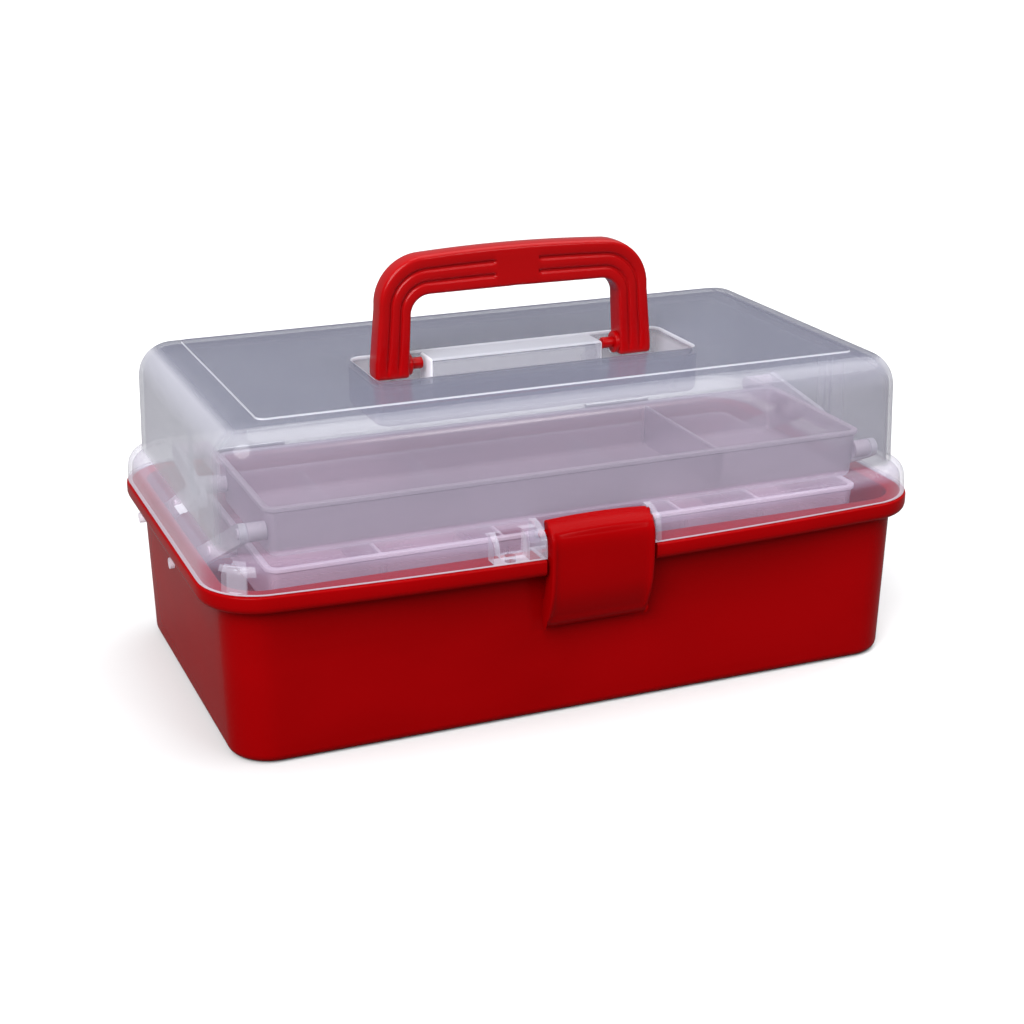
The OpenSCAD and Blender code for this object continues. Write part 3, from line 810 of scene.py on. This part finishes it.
def buildLatch():
    c = latch
    half, edge, rim = c["width"] / 2, c["edge"], c["rim"]
    steps = []
    for step in range(5):
        turn = math.pi / 2 * step / 4
        steps.append((half - edge + edge * math.cos(turn), edge * (1 - math.sin(turn)), 0.0))
    steps += [(half - rim, 0.0, 0.0), (half - rim - 0.35, 0.0, c["dish"] * 0.5), (half - rim - 0.9, 0.0, c["dish"])]
    steps += [(half * share, 0.0, c["dish"]) for share in (0.8, 0.6, 0.4, 0.2)]
    stations = steps + [(0.0, 0.0, c["dish"])] + [(-x, inset, dish) for x, inset, dish in reversed(steps)]
    piece = prism("latchBody", softOutline(list(c["side"])), stations, c["crown"])
    inner = half - c["cheek"]
    cut(piece, prism("latchHollow", list(c["hollow"]), [(-inner, 0.0, 0.0), (inner, 0.0, 0.0)]))
    top = tub["rimTop"] - tub["rimHeight"] - 1
    lip = block("catchLip", (-c["lipHalf"], -98, top - 2.4), (c["lipHalf"], -92.3, top), 0.5)
    parts = [piece, lip]
    for side in (-1, 1):
        parts.append(rod("latchPin", side * (half - 1), side * (lid["notchHalf"] + 1.8),
                         *pivots["latch"], 1.6, 0.3, 24))
    piece = joinPieces(parts)
    finishPiece(piece, "red_plastic", "latch", "front_latch", angle=34)


buildLatch()
print("latch made")

tray = {"length": 277, "height": 22, "wall": 1.6, "corner": 6.0, "lip": 1.2, "front": -77, "bossRadius": 4.0,
        "pin": 2.2, "bossEnd": 145.0, "pinEnd": 149.0, "ribGap": 0.75, "dividerThick": 1.4}
trays = {"lower": {"depth": 127, "floor": 60.0, "slots": (-88.5, -34, 50.5, 89.5), "share": 0.371},
         "upper": {"depth": 80, "floor": 86.0, "slots": (68,), "share": 1.0}}
arm = {"reach": 93.5, "angle": 26.2, "pivotZ": 56, "places": (12.9, 76.5), "link": (24.5, 102.8)}


def along(y, share):
    turn = math.radians(arm["angle"])
    return (y - arm["reach"] * share * math.cos(turn), arm["pivotZ"] + arm["reach"] * share * math.sin(turn))


def trayRings(depth, floor):
    t = tray
    shift = t["front"] + depth / 2
    top = floor + t["height"]

    def inset(by, height, corner):
        return ring(t["length"] - 2 * by, depth - 2 * by, corner, height, 0, shift)
    lip, wall = t["lip"], t["wall"]
    under = inset(lip + 3.2, floor, 3)
    low = inset(lip + 0.9, floor + 2.4, t["corner"] - 1)
    rings = [inset(lip + 20, floor, 2), under] + bend(under, low, 4, True)
    neck = inset(lip, top - 2.6, t["corner"] - lip)
    rings += [neck, inset(0.2, top - 1.9, t["corner"] - 0.2),
              inset(0, top - 1.6, t["corner"]), inset(0, top - 0.5, t["corner"])]
    rings += bend(inset(0, top - 0.5, t["corner"]), inset(0.6, top, t["corner"] - 0.6), 3, False)[0:]
    inner = inset(lip + wall, top - 0.6, t["corner"] - lip - wall)
    edge = inset(lip + wall - 0.6, top, t["corner"] - lip - wall + 0.6)
    rings += [edge] + bend(edge, inner, 3, True)
    deep = inset(lip + wall + 0.8, floor + wall + 2.2, 2.6)
    flat = inset(lip + wall + 3.2, floor + wall, 1.2)
    return rings + [deep] + bend(deep, flat, 4, False)


def buildTray(name):
    t, own = tray, trays[name]
    depth, floor = own["depth"], own["floor"]
    piece = shellLoft(name + "TrayShell", trayRings(depth, floor), (6, 8, 16))
    ribs = []
    middle = t["front"] + depth / 2
    reach = depth / 2 - t["lip"] - t["wall"]
    for x in own["slots"]:
        for side in (-1, 1):
            for end in (-1, 1):
                at = x + side * (t["dividerThick"] / 2 + t["ribGap"])
                near, far = sorted((middle + end * (reach - 1.6), middle + end * (reach + 0.5)))
                ribs.append(block("rib", (at - 0.6, near, floor + 1),
                                  (at + 0.6, far, floor + t["height"] - 2.5), 0.3, 2))
    fuse(piece, joinPieces(ribs))
    # bosses and ears are joined as closed shells, because a union loses them here
    parts = [piece]
    for side in (-1, 1):
        for pivot in arm["places"]:
            y, z = along(pivot, own["share"])
            inner, outer = side * (t["length"] / 2 - t["lip"] - 0.6), side * t["length"] / 2
            parts += [rod("boss", inner, side * t["bossEnd"], y, z, t["bossRadius"], 0.5),
                      rod("pin", outer, side * t["pinEnd"], y, z, t["pin"], 0.4)]
        if name == "upper":
            parts += linkEar(side)
    piece = joinPieces(parts)
    finishPiece(piece, "clear_tray", name + "_tray", name + "_tray")
    top, end = floor + t["height"], t["length"] / 2
    # painted edge light along the tray's lip and bottom edge; milkier thick bosses, pins and ears at its ends
    markMilkAndPaintedSheen(piece, [
        ((-200, -100, top - 2.05), (200, 100, top + 1), 0.42),
        ((-200, -100, floor - 1), (200, 100, floor + 0.2), 0.12),
        ((end + 0.1, -100, floor - 1), (200, 100, top + 1), 0.7),
        ((-200, -100, floor - 1), (-end - 0.1, 100, top + 1), 0.7)])


def linkEar(side):
    # the parts of the ear on the upper tray's end that the lid's link lifts
    t = tray
    y, z = arm["link"]
    inner, outer = t["length"] / 2 - t["lip"] - 1.5, t["length"] / 2 + 1.5
    low, high = sorted((side * inner, side * outer))
    ear = block("ear", (low, -9, z - t["bossRadius"]), (high, y, z + t["bossRadius"]), 0.6)
    boss = rod("earBoss", side * inner, side * (pivots["linkPlane"] - 0.3), y, z, t["bossRadius"], 0.5)
    pin = rod("earPin", side * (outer - 1), side * (pivots["linkPlane"] + pivots["linkThick"] + 0.1),
              y, z, t["pin"] - 0.2, 0.3)
    return [ear, boss, pin]


def buildDivider(trayName, place, x):
    t, own = tray, trays[trayName]
    thick = t["dividerThick"] / 2
    front = t["front"] + t["lip"] + t["wall"] + 0.3
    back = t["front"] + own["depth"] - t["lip"] - t["wall"] - 0.3
    low, high = own["floor"] + t["wall"] + 0.1, own["floor"] + t["height"] - 1.5
    piece = block(trayName + "Divider" + place, (x - thick * 0.8, front, low), (x + thick * 0.8, back, high), 0.35, 3)
    bead = block("bead", (x - thick, front + 2.2, high - 1.3), (x + thick, back - 2.2, high), 0.5, 3)
    fuse(piece, bead)
    grips = []
    for share in (0.3, 0.7):
        y = front + (back - front) * share
        grips.append(block("grip", (x - thick, y - 4, low + 3), (x + thick, y + 4, low + 3.9), 0.3, 2))
    fuse(piece, joinPieces(grips))
    finishPiece(piece, "clear_tray", trayName + "_tray", trayName + "_divider" + place)
    # painted edge light along the divider's top bead
    markMilkAndPaintedSheen(piece, [((-200, -100, high - 1.3), (200, 100, high + 1), 0.35)])


for trayName in trays:
    buildTray(trayName)
    slots = trays[trayName]["slots"]
    for number, x in enumerate(slots, 1):
        buildDivider(trayName, f"_{number}" if len(slots) > 1 else "", x)
print("trays made")

# arms, links and pins keep their own shapes

for nodeName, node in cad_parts.items():
    if "_arm_" in nodeName or "lid_link" in nodeName or "hinge_pin" in nodeName:
        look = looks["pin_steel" if "hinge_pin" in nodeName else "clear_arm"]
        for slotNumber in range(len(node.material_slots)):
            node.material_slots[slotNumber].material = look
print("arms and pins finished")

# camera, floor and light

view = {"turn": -22.55, "tilt": 19.9, "distance": 863.7, "target": (-0.4, 0.0, 62.4), "lens": 65.0}


def lookFrom(piece, turn, tilt, distance, target):
    a, e = math.radians(turn), math.radians(tilt)
    back = Vector((math.sin(a) * math.cos(e), -math.cos(a) * math.cos(e), math.sin(e)))
    aim = Vector(target) * mm
    piece.location = aim + back * distance * mm
    piece.rotation_euler = back.to_track_quat("Z", "Y").to_euler()


bpy.ops.object.camera_add()
camera = bpy.context.object
camera.name = "camera"
camera.data.lens = view["lens"]
camera.data.sensor_width = 36
camera.data.clip_start = 0.01
lookFrom(camera, view["turn"], view["tilt"], view["distance"], view["target"])
bpy.context.scene.camera = camera

deselectAll()
bpy.ops.mesh.primitive_circle_add(vertices=96, radius=30.0, fill_type="NGON", location=(0, 0, -0.0002))
floor = bpy.context.object
floor.name = "floor"
floorLook = Finish("floorPaper", Roughness=0.9, Specular_IOR_Level=0.1)
paper = floorLook.noise(floorLook.place(), 3.0, 2.0)
seen = floorLook.add("LightPath", output=0)  # the paper throws less light back than it shows
paperColour = floorLook.blendColours(paper, (0.63, 0.63, 0.63, 1), (0.65, 0.65, 0.65, 1))
floorLook.feed(Base_Color=floorLook.blendColours(seen, (0.15, 0.15, 0.15, 1), paperColour))
floor.data.materials.append(floorLook.material)

lamps = {
    "topLamp": {"turn": 94, "tilt": 69, "spread": 60, "power": 2.4},
    "stripLamp": {"turn": 24, "tilt": 28, "spread": 9, "power": 0.3},
    "frontLamp": {"turn": -45, "tilt": 40, "spread": 45, "power": 4.1},
}
for name, lamp in lamps.items():
    bpy.ops.object.light_add(type="SUN")
    light = bpy.context.object
    light.name = name
    light.data.angle = math.radians(lamp["spread"])
    light.data.energy = lamp["power"]
    lookFrom(light, lamp["turn"], lamp["tilt"], 2000, (0, 0, 70))

studio = {"paper": 1.0, "low": 0.32, "high": 0.75, "colour": (0.93, 0.96, 1.0, 1)}
world = bpy.data.worlds.new("studio")
bpy.context.scene.world = world
world.use_nodes = True
sky = world.node_tree.nodes
wires = world.node_tree.links
direction = sky.new("ShaderNodeSeparateXYZ")
wires.new(sky.new("ShaderNodeTexCoord").outputs[0], direction.inputs[0])
climb = sky.new("ShaderNodeMapRange")
climb.interpolation_type = "SMOOTHSTEP"
for socket, value in zip(("From Min", "From Max", "To Min", "To Max"), (0.3, 0.95, studio["low"], studio["high"])):
    climb.inputs[socket].default_value = value
wires.new(direction.outputs[2], climb.inputs["Value"])
ray = sky.new("ShaderNodeLightPath")
choice = sky.new("ShaderNodeMix")
choice.inputs[3].default_value = studio["paper"]
wires.new(ray.outputs["Is Camera Ray"], choice.inputs[0])
wires.new(climb.outputs[0], choice.inputs[2])
sky["Background"].inputs["Color"].default_value = studio["colour"]
wires.new(choice.outputs[0], sky["Background"].inputs["Strength"])
bpy.context.scene.view_settings.view_transform = "Standard"
print("studio set")
